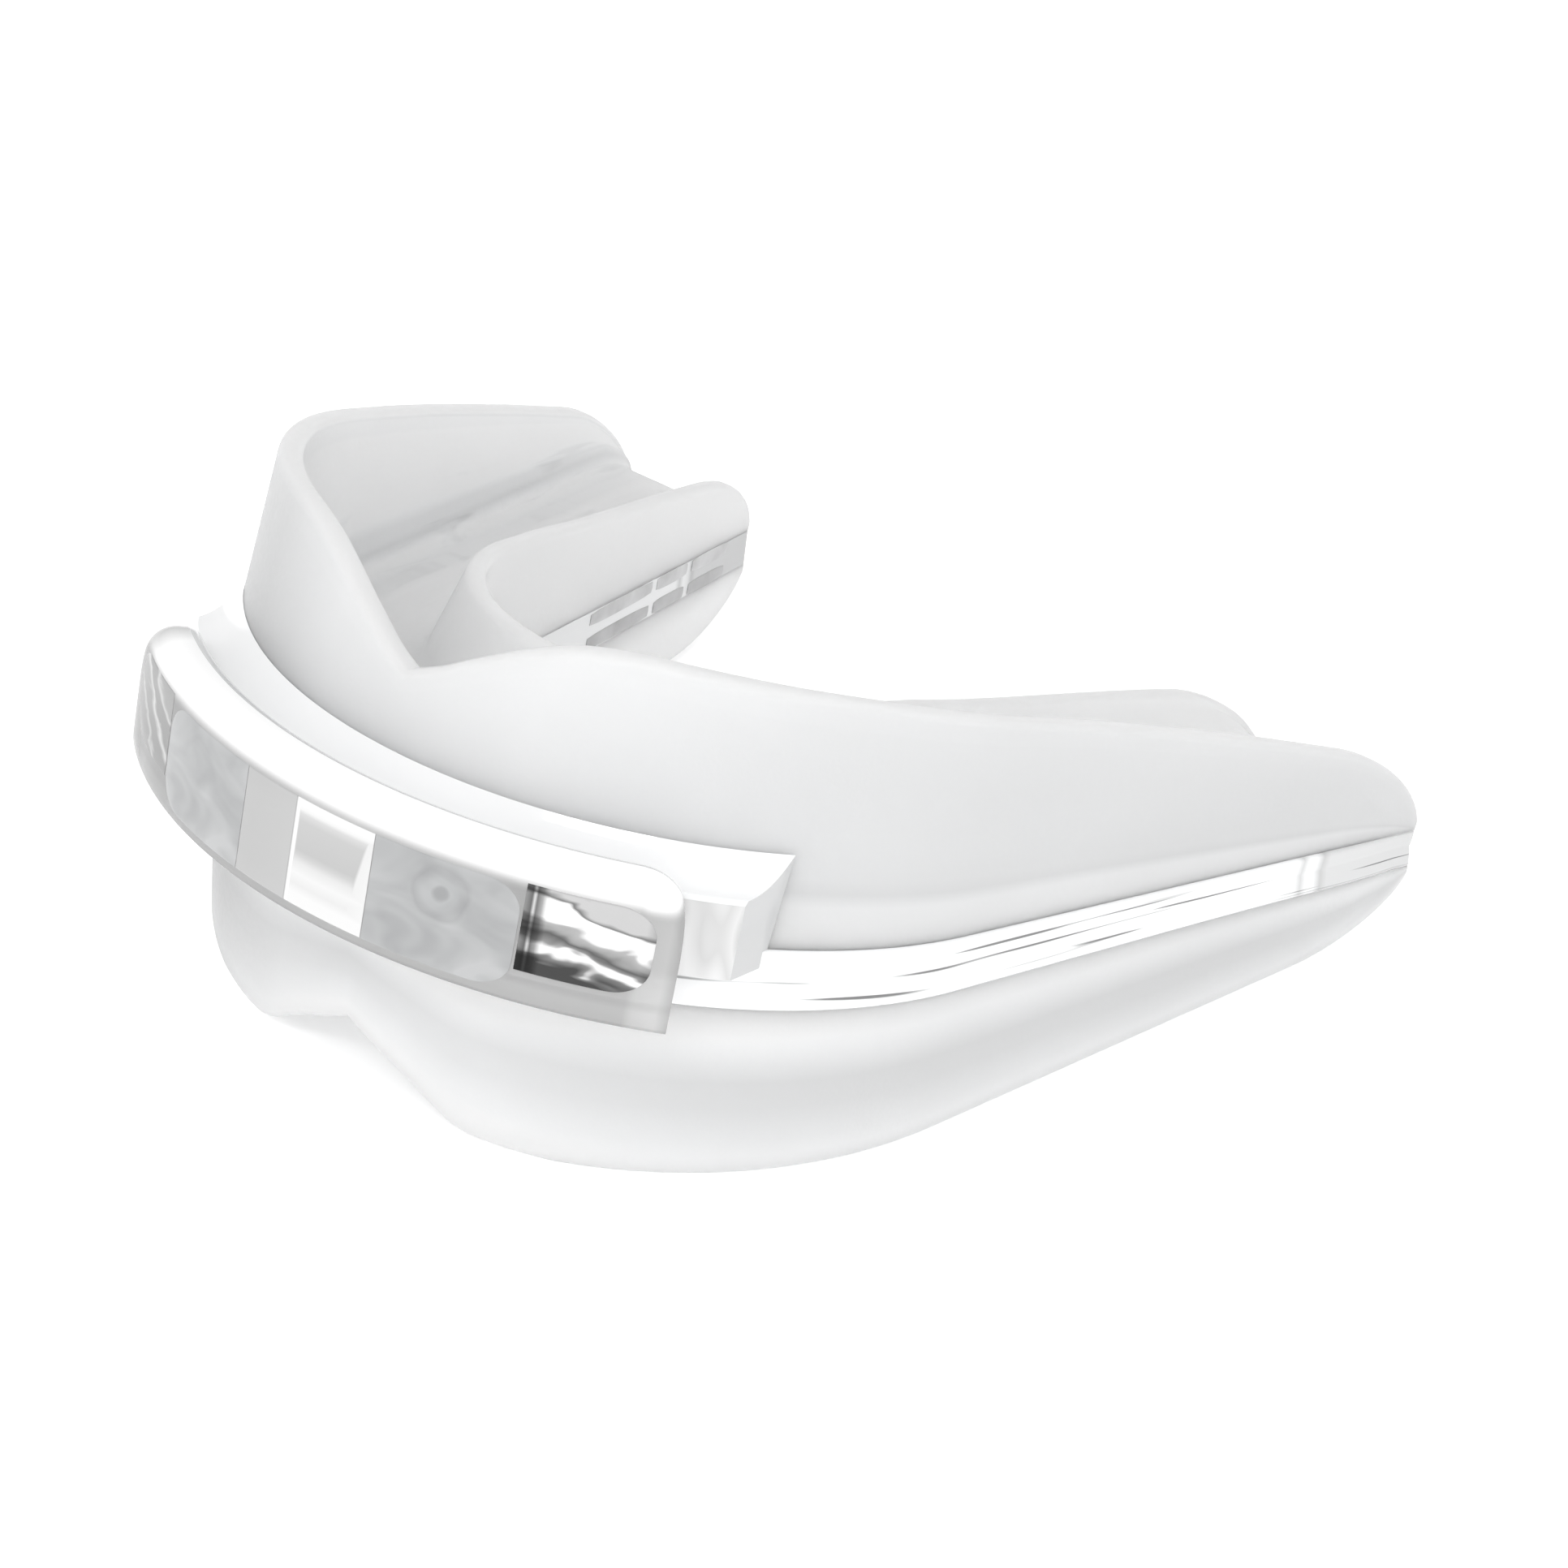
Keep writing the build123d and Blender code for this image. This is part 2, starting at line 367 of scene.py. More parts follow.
def soft_tray_material(name, tones):
    """Matte, milky EVA: light passes through it blurred. `tones` are (share of the way round the
    section, tone) stops of painted light and shade. The outer wall is also painted lighter across the
    front and darker beside it towards the wearer's right, and the trough darker in soft patches as
    painted shade of folds."""
    material, nodes, links, shader = new_material(name)
    cloud = object_noise(nodes, links, 60, 3)
    colour = colour_mix(nodes, links, cloud, (0.97, 0.975, 0.98), (0.985, 0.99, 0.995))
    along, around = wrap_parts(nodes, links)
    # Painted light and shade round the section, from `tones`.
    colour = product(nodes, links, colour, tone_ramp(nodes, links, around, tones))
    # Painted light on the outer wall: lighter across the front, darker beside it towards the wearer's
    # right.
    outside = tone_ramp(nodes, links, around, [(0.40, 1.0), (0.46, 0.0)])
    front = tone_ramp(nodes, links, along, [
        (0.28, 0.88), (0.40, 0.84), (0.46, 1.04), (0.56, 1.08), (0.66, 0.97), (0.75, 0.94),
    ])
    colour = product(nodes, links, colour, front, outside)
    # Painted shade of folds: soft darker patches on the trough's floor.
    folds = wrapped_noise(nodes, links, 1.0, 3, 0.8, (16, 30, 1))
    painted_fold_shade = tone_ramp(nodes, links, folds, [(0.30, 0.84), (0.42, 0.98), (0.60, 1.0)])
    in_trough = tone_ramp(nodes, links, around, [(0.54, 0), (0.60, 1), (0.72, 1), (0.78, 0)])
    colour = product(nodes, links, colour, painted_fold_shade, in_trough)
    links.new(colour, shader.inputs["Base Color"])
    grain = object_noise(nodes, links, 2600, 4)
    links.new(spread(nodes, links, grain, 0.42, 0.52), shader.inputs["Roughness"])
    bumps(nodes, links, shader, grain, 0.00002, 0.6)
    shader.inputs["IOR"].default_value = 1.45
    shader.inputs["Transmission Weight"].default_value = 0.35
    shader.inputs["Subsurface Weight"].default_value = 1.0
    shader.inputs["Subsurface Radius"].default_value = (1, 1, 1)
    shader.inputs["Subsurface Scale"].default_value = 0.002
    shader.inputs["Specular IOR Level"].default_value = 0.4
    return material


def core_material():
    """Clear copolymer of the core: glossy with long dark streaks of painted reflection on its outer
    band, and frosted like the trays on the tongue side, where its colour is darkened as painted shade.
    It is also darkened towards both rear ends, with thin dark lines near them, as painted shade."""
    material, nodes, links, shader = new_material("clear_core")
    along, around = wrap_parts(nodes, links)
    # Painted reflection: long dark streaks on the outer band.
    streak = wrapped_noise(nodes, links, 1.0, 1, 0.2, (9, 14, 1))
    streaks = tone_ramp(nodes, links, streak, [(0.31, 0.22), (0.345, 0.7), (0.36, 1.0)])
    on_band = tone_ramp(nodes, links, around, [(0.05, 0), (0.10, 1), (0.42, 1), (0.48, 0)])
    flow = object_noise(nodes, links, 120, 2, (1, 1, 3))
    colour = colour_mix(nodes, links, flow, (0.98, 0.985, 0.99), (0.99, 0.995, 1.0))
    colour = product(nodes, links, colour, streaks, on_band)
    # Painted shade: darker towards the tongue side.
    painted_tongue_side_shade = tone_ramp(nodes, links, around, [(0.5, 1.0), (0.7, 0.80)])
    colour = product(nodes, links, colour, painted_tongue_side_shade)
    # Painted shade: darker towards both rear ends, with two thin dark lines near each.
    painted_end_shade = tone_ramp(nodes, links, along, [
        (0.0, 0.68), (0.055, 0.72), (0.060, 0.52), (0.063, 1.0), (0.068, 1.0), (0.071, 0.6),
        (0.074, 1.0), (0.926, 1.0), (0.929, 0.6), (0.932, 1.0), (0.937, 1.0), (0.940, 0.55),
        (0.945, 0.72), (1.0, 0.68),
    ])
    links.new(product(nodes, links, colour, painted_end_shade), shader.inputs["Base Color"])
    links.new(
        tone_ramp(nodes, links, around, [(0.5, 0.07), (0.7, 0.45)]), shader.inputs["Roughness"]
    )
    bumps(nodes, links, shader, flow, 0.0001, 0.5)
    shader.inputs["IOR"].default_value = 1.45
    shader.inputs["Transmission Weight"].default_value = 0.1
    return material


def clear_material(name, tint, roughness, waves, ior, clearness):
    """Polished clear copolymer with the slight waviness of a moulded face."""
    material, nodes, links, shader = new_material(name)
    flow = object_noise(nodes, links, 120, 2, (1, 1, 3))
    links.new(
        colour_mix(nodes, links, flow, tint, tuple(min(1, c + 0.02) for c in tint)),
        shader.inputs["Base Color"],
    )
    links.new(spread(nodes, links, flow, roughness, roughness * 1.6), shader.inputs["Roughness"])
    bumps(nodes, links, shader, flow, waves, 0.5)
    shader.inputs["IOR"].default_value = ior
    shader.inputs["Transmission Weight"].default_value = clearness
    shader.inputs["Coat Weight"].default_value = 1.0
    shader.inputs["Coat Roughness"].default_value = 0.04
    return material


def bent_height(nodes, links, lean, wave):
    """Height over a cell, leaning along it and waved by noise, so that stripes by it run aslant."""
    along, height = wrap_parts(nodes, links)
    tilt = nodes.new("ShaderNodeMath")
    tilt.operation = "MULTIPLY_ADD"
    tilt.inputs[1].default_value = lean
    links.new(along, tilt.inputs[0])
    links.new(height, tilt.inputs[2])
    ripple = nodes.new("ShaderNodeMath")
    ripple.operation = "MULTIPLY_ADD"
    ripple.inputs[1].default_value = wave
    links.new(wrapped_noise(nodes, links, 2.2, 2, 0.6, (1, 1.6, 1)), ripple.inputs[0])
    links.new(tilt.outputs["Value"], ripple.inputs[2])
    level = nodes.new("ShaderNodeMapRange")
    level.inputs["From Max"].default_value = 1 + lean + 0.6 * wave
    links.new(ripple.outputs["Value"], level.inputs["Value"])
    return along, level.outputs["Result"]


def end_cell_material():
    """Mirror-like wall of the left end cell, its colour painted reflection and shade: stripes from near
    black to white, aslant along it, and thin dark lines at its inner end.
    """
    material, nodes, links, shader = new_material("end_cell_wall")
    along, aslant = bent_height(nodes, links, 0.25, 0.55)
    # Painted reflection: dark and white stripes aslant along the cell.
    stripes = tone_ramp(nodes, links, aslant, [
        (0.20, 0.05), (0.38, 0.05), (0.42, 0.20), (0.45, 0.85), (0.48, 0.90), (0.51, 0.25),
        (0.56, 0.10), (0.61, 0.30), (0.66, 0.40), (0.70, 0.97), (0.80, 0.97), (0.83, 0.15), (0.87, 0.5),
    ])
    # Painted shade: thin dark lines at the cell's inner end, and a darker outer end.
    painted_inner_end_lines = tone_ramp(nodes, links, along, [
        (0.0, 0.25), (0.05, 0.12), (0.07, 0.6), (0.09, 0.15), (0.13, 0.35), (0.18, 1.0),
        (0.92, 1.0), (1.0, 0.7),
    ])
    links.new(product(nodes, links, stripes, painted_inner_end_lines), shader.inputs["Base Color"])
    shader.inputs["Metallic"].default_value = 0.6
    shader.inputs["Roughness"].default_value = 0.15
    return material


def bumper_material():
    """Clear copolymer of the bar, its colour painted light and shade: bright along the brow and the
    low edge as painted highlights, grey between them as painted shade, darker towards the wearer's
    right end and brighter than white near the left end.
    """
    material, nodes, links, shader = new_material("clear_bumper")
    along, height = wrap_parts(nodes, links)
    whole = nodes.new("ShaderNodeMapRange")
    whole.inputs["From Min"].default_value = -0.3
    whole.inputs["From Max"].default_value = 1.4
    links.new(height, whole.inputs["Value"])
    # Painted light and shade by height: bright brow and low edge as painted highlights, grey between as
    # painted shade.
    tones = tone_ramp(nodes, links, whole.outputs["Result"], [
        (0.0, 0.40), (0.04, 0.46), (0.06, 0.60), (0.15, 0.60), (0.19, 0.54), (0.76, 0.54),
        (0.80, 0.66), (0.85, 0.97), (1.0, 0.97),
    ])
    # Painted light and shade along the bar: darker towards the wearer's right end, brighter than white
    # near the left end.
    ends = tone_ramp(nodes, links, along, [
        (0.0, 0.38), (0.05, 0.55), (0.10, 0.95), (0.945, 1.0), (0.955, 1.2), (0.985, 1.3), (1.0, 1.0),
    ])
    links.new(product(nodes, links, tones, ends), shader.inputs["Base Color"])
    flow = object_noise(nodes, links, 120, 2, (1, 1, 3))
    bumps(nodes, links, shader, flow, 0.00006, 0.5)
    shader.inputs["Roughness"].default_value = 0.04
    shader.inputs["IOR"].default_value = 1.1
    links.new(
        tone_ramp(nodes, links, whole.outputs["Result"], [(0.78, 0.4), (0.86, 0.0)]),
        shader.inputs["Transmission Weight"],
    )
    shader.inputs["Coat Weight"].default_value = 0.3
    shader.inputs["Coat Roughness"].default_value = 0.04
    return material


def streaky_cell_material():
    """Wall of the right end cell: grey gloss with bright slanting streaks, painted shade and
    reflection.
    """
    material, nodes, links, shader = new_material("streaky_cell_wall")
    _, aslant = bent_height(nodes, links, 0.9, 0.5)
    # Painted reflection: bright slanting streaks on grey.
    stripes = tone_ramp(nodes, links, aslant, [
        (0.15, 0.32), (0.35, 0.24), (0.42, 0.26), (0.45, 0.46), (0.48, 0.26), (0.60, 0.28),
        (0.66, 0.58), (0.70, 0.28), (0.80, 0.30), (0.84, 0.55), (0.88, 0.34),
    ])
    links.new(stripes, shader.inputs["Base Color"])
    shader.inputs["Roughness"].default_value = 0.2
    shader.inputs["Specular IOR Level"].default_value = 0.15
    return material


def post_material():
    """Post seen through the bar, its look painted: a grey block with a darker core as painted shade,
    and a bright line down each of its edges as painted highlights, the outer one leaning."""
    material, nodes, links, shader = new_material("clear_post")
    along, height = wrap_parts(nodes, links)
    block = tone_ramp(nodes, links, height, [
        (0.0, 0.72), (0.10, 0.64), (0.22, 0.70), (0.34, 0.62), (0.42, 0.48), (0.48, 0.42),
        (0.80, 0.45), (0.88, 0.54), (0.92, 0.70), (1.0, 0.78),
    ])
    inside = tone_ramp(nodes, links, along, [(0.43, 0), (0.45, 1)])
    beside = tone_ramp(nodes, links, along, [(0.10, 0.40), (0.42, 0.43), (0.44, 0)])
    near_line = tone_ramp(nodes, links, along, [(0.42, 0), (0.435, 0.80), (0.455, 0.80), (0.475, 0)])
    lean = nodes.new("ShaderNodeMath")
    lean.operation = "MULTIPLY_ADD"
    lean.inputs[1].default_value = -0.1
    links.new(height, lean.inputs[0])
    links.new(along, lean.inputs[2])
    far_line = tone_ramp(nodes, links, lean.outputs["Value"], [(0.83, 0), (0.88, 0.66), (1.0, 0.70)])
    colour = product(nodes, links, block, inside)
    for line in (beside, near_line, far_line):
        colour = product(nodes, links, colour, line, blend="LIGHTEN")
    links.new(colour, shader.inputs["Base Color"])
    shader.inputs["Roughness"].default_value = 0.1
    shader.inputs["Coat Weight"].default_value = 1.0
    shader.inputs["Coat Roughness"].default_value = 0.04
    return material


def neck_front_material():
    """Front of the neck, beside the bar: grey as painted shade, with upright streaks of painted
    reflection.
    """
    material, nodes, links, shader = new_material("clear_neck_front")
    flow = object_noise(nodes, links, 300, 1, (1, 1, 0.35))
    tones = tone_ramp(nodes, links, flow, [(0.34, 0.52), (0.42, 0.72), (0.50, 0.62), (0.58, 0.85)])
    links.new(tones, shader.inputs["Base Color"])
    shader.inputs["Roughness"].default_value = 0.12
    return material


def gate_rings(nodes, links):
    """Faint uneven rings of a moulding gate's mark, above the middle of a cell."""
    place = nodes.new("ShaderNodeUVMap")
    place.uv_map = "wrap"
    mapping = nodes.new("ShaderNodeMapping")
    across, up = CELL_LENGTH / GATE_REACH, CELL_HEIGHT / GATE_REACH
    mapping.inputs["Scale"].default_value = (across, up, 1)
    mapping.inputs["Location"].default_value = (-GATE_ALONG * across, -GATE_UP * up, 0)
    distance = nodes.new("ShaderNodeVectorMath")
    distance.operation = "LENGTH"
    uneven = nodes.new("ShaderNodeMath")
    uneven.operation = "MULTIPLY_ADD"
    uneven.inputs[1].default_value = 0.45
    links.new(place.outputs["UV"], mapping.inputs["Vector"])
    links.new(mapping.outputs["Vector"], distance.inputs[0])
    links.new(wrapped_noise(nodes, links, 2.6, 1, 0.3, (1, 1, 1)), uneven.inputs[0])
    links.new(distance.outputs["Value"], uneven.inputs[2])
    return tone_ramp(nodes, links, uneven.outputs["Value"], [
        (0.25, 0.84), (0.30, 0.88), (0.37, 1.14), (0.50, 1.10), (0.62, 0.97), (0.70, 0.90),
        (0.78, 1.0),
    ])


def middle_cell_material(name, with_gate):
    """Wall of a middle cell: soft grey gloss with cloudy swirls, painted shade and reflection, and on
    one cell the mark of the moulding gate."""
    material, nodes, links, shader = new_material(name)
    cloud = wrapped_noise(nodes, links, 2.0, 2, 0.8, (1, 1, 1))
    colour = colour_mix(nodes, links, cloud, (0.32, 0.325, 0.33), (0.46, 0.465, 0.47))
    if with_gate:
        colour = product(nodes, links, colour, gate_rings(nodes, links))
    links.new(colour, shader.inputs["Base Color"])
    shader.inputs["Roughness"].default_value = 0.2
    return material


def pad_material(name, tone):
    """Clear elastomer of the bite pads, greyer than the core round it."""
    material, nodes, links, shader = new_material(name)
    cloud = object_noise(nodes, links, 500, 3)
    low, high = tone * 0.85, tone * 1.15
    links.new(
        colour_mix(nodes, links, cloud, (low, low, low * 1.01), (high, high, high * 1.01)),
        shader.inputs["Base Color"],
    )
    shader.inputs["Roughness"].default_value = 0.3
    shader.inputs["Transmission Weight"].default_value = 0.2
    return material


# Shares of the way round a tray's section: outer wall to 0.40, its rim to 0.48, trough to 0.84, inner
# rim to 0.88, tongue side to 1. The tones are painted light and shade: the outer wall lighter just
# above the core and darker higher up, the rim lighter as a painted highlight, and short dips that are
# painted dark contour lines at the rim and the trough's floor.
UPPER_TRAY = soft_tray_material("soft_tray", [
    (0.0, 0.97), (0.08, 0.96), (0.105, 0.83), (0.13, 0.86), (0.30, 0.84), (0.40, 0.84), (0.425, 0.98),
    (0.465, 1.0), (0.474, 0.84), (0.482, 0.95), (0.585, 0.95), (0.61, 0.80), (0.63, 1.0), (0.655, 0.90),
    (0.68, 1.0), (0.88, 1.0), (1.0, 0.96),
])
# The lower tray's tones are painted shade: a darker band part way down its outer wall, lighter just
# below the core and towards the rim. The two trays are lit and shaded copies of one material.
LOWER_TRAY = soft_tray_material("soft_tray_lower", [
    (0.0, 0.98), (0.08, 0.97), (0.20, 0.74), (0.27, 0.76), (0.36, 0.85), (0.42, 0.94), (1.0, 0.96),
])
CORE = core_material()
NECK = clear_material("clear_neck", (0.93, 0.935, 0.94), 0.1, 0.00005, 1.3, 0.05)
NECK_FRONT = neck_front_material()
# Darker copy of the neck's clear material for its end faces: painted shade.
NECK_END_PAINTED_SHADE = clear_material("clear_neck_end", (0.55, 0.555, 0.56), 0.1, 0.00005, 1.3, 0.05)
BUMPER = bumper_material()
# Greyer copy of the bar's clear material for its back edge and end faces: painted shade.
BACK_EDGE_PAINTED_SHADE = clear_material("clear_bumper_back_edge", (0.58, 0.585, 0.59), 0.08, 0.00005, 1.3, 0.05)
POST = post_material()
END_CELL = end_cell_material()
MIDDLE_CELL = middle_cell_material("middle_cell_wall", True)
RIGHT_MIDDLE_CELL = middle_cell_material("right_middle_cell_wall", False)
# Darker copy of the core's clear material for its end caps: painted shade.
CORE_END_PAINTED_SHADE = clear_material("clear_core_end", (0.68, 0.685, 0.69), 0.35, 0.00005, 1.45, 0.1)
RIGHT_END_CELL = streaky_cell_material()
PAD = pad_material("bite_pad", 0.56)
# The lower pads take a darker copy of the pad material: painted shade.
LOWER_PAD_PAINTED_SHADE = pad_material("bite_pad_lower", 0.42)


# ---------------------------------------------------------------- soft trays

RIM_RADIUS = 0.5
RIM_WIDTH = 1.45
LINGUAL_RIM_WIDTH = 1.25
TROUGH_FILLET = 1.6
NOSE_START_Y = 22.5
NOSE_POWER = 2.1
TIP_THICKNESS = 0.04
NOTCH_REACH = 16
NOTCH_BLEND = 0.6
THINNING_HEIGHT = 3
ROUND_SHARE = 0.45
HALVINGS = 24
LOBE_DEPTH = 14.03
LOBE_Y = -22


def nose_factor(y, tip_y):
    """Share of its height that an edge keeps where the rear end rounds off."""
    into = min(1.0, max(0.0, (y - NOSE_START_Y) / (tip_y - NOSE_START_Y)))
    return (1 - into ** NOSE_POWER) ** (1 / NOSE_POWER)


def height_at(edge, base, offset, station, tip_y):
    """Height above the base of a leaning wall's edge. The edge is a curve of its own y, as a
    distance from the bite plane, and the height is found by halving."""
    y0 = arch_point(offset, station, tip_y)[1]
    foot = abs(float(base(y0)))
    low, high = 0.0, 20.0
    for _ in range(HALVINGS):
        height = (low + high) / 2
        y = y0 + WALL_LEAN * height
        if height < (float(edge(y)) - foot) * nose_factor(y, tip_y):
            low = height
        else:
            high = height
    return max(low, TIP_THICKNESS)


def tray_section(outer, floor, lingual):
    """Closed section of a tray, as (offset, height) points, from its three heights, and each
    point's share of the way round. Both walls thin towards their rounded rims."""
    floor = min(floor, outer, lingual)
    inside = ARM_WIDTH - INNER_WALL
    fade = min(1, (outer - floor) / THINNING_HEIGHT)
    rim_width = OUTER_WALL + (RIM_WIDTH - OUTER_WALL) * fade
    outer_rim = min(RIM_RADIUS, outer * ROUND_SHARE)
    inner_rim = min(RIM_RADIUS, (outer - floor) * ROUND_SHARE)
    fillet = min(TROUGH_FILLET, (outer - floor) * 0.5)
    fade = min(1, max(0, lingual - floor) / THINNING_HEIGHT)
    lingual_width = INNER_WALL + (LINGUAL_RIM_WIDTH - INNER_WALL) * fade
    lingual_fillet = min(TROUGH_FILLET, (lingual - floor) * 0.5)
    lingual_in = min(RIM_RADIUS, (lingual - floor) * ROUND_SHARE)
    lingual_out = min(RIM_RADIUS, lingual * ROUND_SHARE)
    quarter = np.linspace(0, math.pi / 2, 6)
    lingual_face = lingual_width - ARM_WIDTH
    parts = (
        ([(0, 0)] + run((0, 0), (0, outer - outer_rim), 14), 0.0, 0.40),
        (corner((-outer_rim, outer - outer_rim), outer_rim, 0, 90), 0.40, 0.44),
        (corner((inner_rim - rim_width, outer - inner_rim), inner_rim, 90, 180), 0.44, 0.48),
        (run((-rim_width, outer - inner_rim), (-OUTER_WALL, floor + fillet), 10), 0.48, 0.60),
        ([
            (-OUTER_WALL - fillet * (1 - math.cos(t)), floor + fillet * (1 - math.sin(t)))
            for t in quarter
        ], 0.60, 0.66),
        (run((-OUTER_WALL - fillet, floor), (-inside + lingual_fillet, floor), 6), 0.66, 0.74),
        ([
            (-inside + lingual_fillet * (1 - math.sin(t)), floor + lingual_fillet * (1 - math.cos(t)))
            for t in quarter
        ], 0.74, 0.78),
        (run((-inside, floor + lingual_fillet), (lingual_face, lingual - lingual_in), 6), 0.78, 0.84),
        (corner((lingual_face - lingual_in, lingual - lingual_in), lingual_in, 0, 90), 0.84, 0.86),
        (corner((lingual_out - ARM_WIDTH, lingual - lingual_out), lingual_out, 90, 180), 0.86, 0.88),
        (run((-ARM_WIDTH, lingual - lingual_out), (-ARM_WIDTH, 0), 8) + [(-ARM_WIDTH, 0)], 0.88, 1.0),
        (run((-ARM_WIDTH, 0), (0, 0), 8), 1.0, 1.0),
    )
    points = [point for part, _, _ in parts for point in part]
    wraps = [v for part, low, high in parts for v in np.linspace(low, high, len(part))]
    return points, wraps


def build_tray(name, up, tip_y, base, outer_edge, lingual_edge, notch, material):
    """One soft tray. Its edges are curves of y, and its notch one of x, as distances from the bite
    plane."""
    sections = []
    wrap = []
    for station in arch_stations():
        outer = height_at(outer_edge, base, -OUTER_WALL / 2, station, tip_y)
        x, y = arch_point(-OUTER_WALL / 2, station, tip_y)
        if abs(x) < NOTCH_REACH:
            outer = float(soft_min(outer, notch(abs(x)) - abs(base(y)), NOTCH_BLEND))
        lingual = height_at(lingual_edge, base, INNER_WALL / 2 - ARM_WIDTH, station, tip_y)
        floor = height_at(
            lambda y: abs(base(y)) + FLOOR_THICKNESS, base, -ARM_WIDTH / 2, station, tip_y
        )
        loop = []
        middle_y = y + WALL_LEAN * outer
        points, shares = tray_section(outer, floor, lingual)
        for offset, height in points:
            x0, y0 = arm_point(offset, station, tip_y)
            y_here = y0 + WALL_LEAN * height
            if offset > -ARM_WIDTH / 2:
                share = (height / outer) ** 2
                height += share * float(outer_edge(y_here) - outer_edge(middle_y))
            loop.append((x0, y_here, base(y0) + up * height))
        sections.append(loop)
        wrap += [((station + 2) / 4, share) for share in shares]
    return new_piece(name, *loft(np.array(sections)), material, wrap)


def core_top_at(y):
    """Height of the joint between core and upper tray, the same at every y."""
    return CORE_TOP


core_bottom_at = smooth_curve([(-28, -2.75), (-15, -2.45), (2, -2.0), (19, -1.6), (31, -1.5)])

upper_edge = smooth_curve(
    [(-30, 14.9), (-22, 14.9), (-15.4, 14.5), (-1.5, 12.4), (13.5, 9.3), (25, 6.6), (31, 5.3)]
)
upper_lingual = smooth_curve([(-20, 9.2), (-12, 9.1), (0, 8.4), (6, 7.7), (18, 6.6), (31, 5.2)])
upper_notch = smooth_curve([(0, 10.3), (1.5, 11.0), (3.5, 12.2), (7.5, 14.2), (11, 15.2), (16, 16.6)])
upper_tray = build_tray(
    "upper_tray_soft", 1, REAR_TIP_Y, core_top_at, upper_edge, upper_lingual, upper_notch, UPPER_TRAY
)
finish_piece(upper_tray, "soft_tray", "upper_tray")

rest_slope = math.tan(REST_TILT)


def lower_edge(y):
    """Distance of the lower edge from the bite plane: straight from the front lobes to the rear."""
    return LOBE_DEPTH - rest_slope * max(0, y - LOBE_Y)


lower_lingual = smooth_curve([(-20, 8.2), (-12, 8.1), (6, 7.4), (24, 6.0), (31, 5.2)])
lower_notch = smooth_curve([(0, 9.9), (1.5, 10.7), (3.5, 11.7), (7.5, 14.1), (11, 14.9), (16, 16.4)])
lower_tray = build_tray(
    "lower_tray_soft", -1, LOWER_TIP_Y, core_bottom_at, lower_edge, lower_lingual, lower_notch,
    LOWER_TRAY,
)
finish_piece(lower_tray, "soft_tray", "lower_tray")


# ---------------------------------------------------------------- core

JOINT_GAP = 0.03
JOINT_DEPTH = 0.6
CORE_EDGE = 0.2
GROOVE_WALL = 0.10
GROOVE_DEPTH = 0.14
GROOVE_SHARE = 0.45
FADE_START_Y = 22
FADE_LENGTH = 7
TONGUE_SIDE = 0.8


def core_section(top, bottom, proud):
    """Closed section of the core as (offset, height) points, the band's face first, and how many
    points that face has."""
    crest, foot = top + JOINT_GAP, bottom - JOINT_GAP
    groove = top - GROOVE_SHARE * (top - bottom)
    wall = proud - GROOVE_WALL
    face = [(-JOINT_DEPTH, top), (-0.1, crest)]
    face += corner((proud - CORE_EDGE, crest - CORE_EDGE), CORE_EDGE, 60, 0)
    face += run((proud, crest - CORE_EDGE), (wall, groove), 4)
    face += [(proud - GROOVE_DEPTH, groove)]
    face += run((wall, groove), (proud, foot + CORE_EDGE), 4)
    face += corner((proud - CORE_EDGE, foot + CORE_EDGE), CORE_EDGE, 0, -60)
    face += [(-0.1, foot), (-JOINT_DEPTH, bottom)]
    back = [(0.5 - ARM_WIDTH, bottom), (-ARM_WIDTH, foot)]
    back += run((-ARM_WIDTH, foot), (-ARM_WIDTH, crest), 4)
    back += [(-ARM_WIDTH, crest), (0.5 - ARM_WIDTH, top)]
    return face + back, len(face)


def build_core():
    """Clear horseshoe: a glossy band along the outside, with a shallow groove in its middle."""
    sections = []
    wrap = []
    top = CORE_TOP - JOINT_GAP
    for station in arch_stations():
        y0 = arch_point(0, station)[1]
        bottom = float(core_bottom_at(y0)) + JOINT_GAP
        proud = CORE_PROUD * (1 - min(1, max(0, (y0 - FADE_START_Y) / FADE_LENGTH)) ** 2)
        section, face_points = core_section(top, bottom, proud)
        loop = []
        for i, (offset, z) in enumerate(section):
            down = (top - z) / (top - bottom)
            end_y = REAR_TIP_Y + (LOWER_TIP_Y - REAR_TIP_Y) * down
            loop.append((*arm_point(offset, station, end_y), z))
            wrap.append(((station + 2) / 4, 0.5 * down if i < face_points else TONGUE_SIDE))
        sections.append(loop)
    piece = new_piece("core_frame_clear", *loft(np.array(sections)), CORE, wrap)
    piece.data.materials.append(CORE_END_PAINTED_SHADE)
    # The end caps take the darker copy: painted shade.
    for face in piece.data.polygons:
        if len(face.vertices) > 4:
            face.material_index = 1
    return piece


finish_piece(build_core(), "clear_core", "core_frame")


# ---------------------------------------------------------------- bite pads

PAD_WIDTH = 8.4
PAD_PROUD = 0.06
PAD_OFFSET = 0.5 * PAD_WIDTH - ARM_WIDTH - PAD_PROUD
PAD_THICK = 1.35
PAD_GAP = 0.3
PAD_CELLS = ((9.0, 17.0), (17.7, 21.8), (22.5, 27.5))
PAD_SQUARENESS = 0.25
PAD_TAPER = 0.25


def squared(share):
    """A sine or cosine drawn out towards 1, which makes a rounded rectangle of a circle."""
    return np.sign(share) * abs(share) ** PAD_SQUARENESS


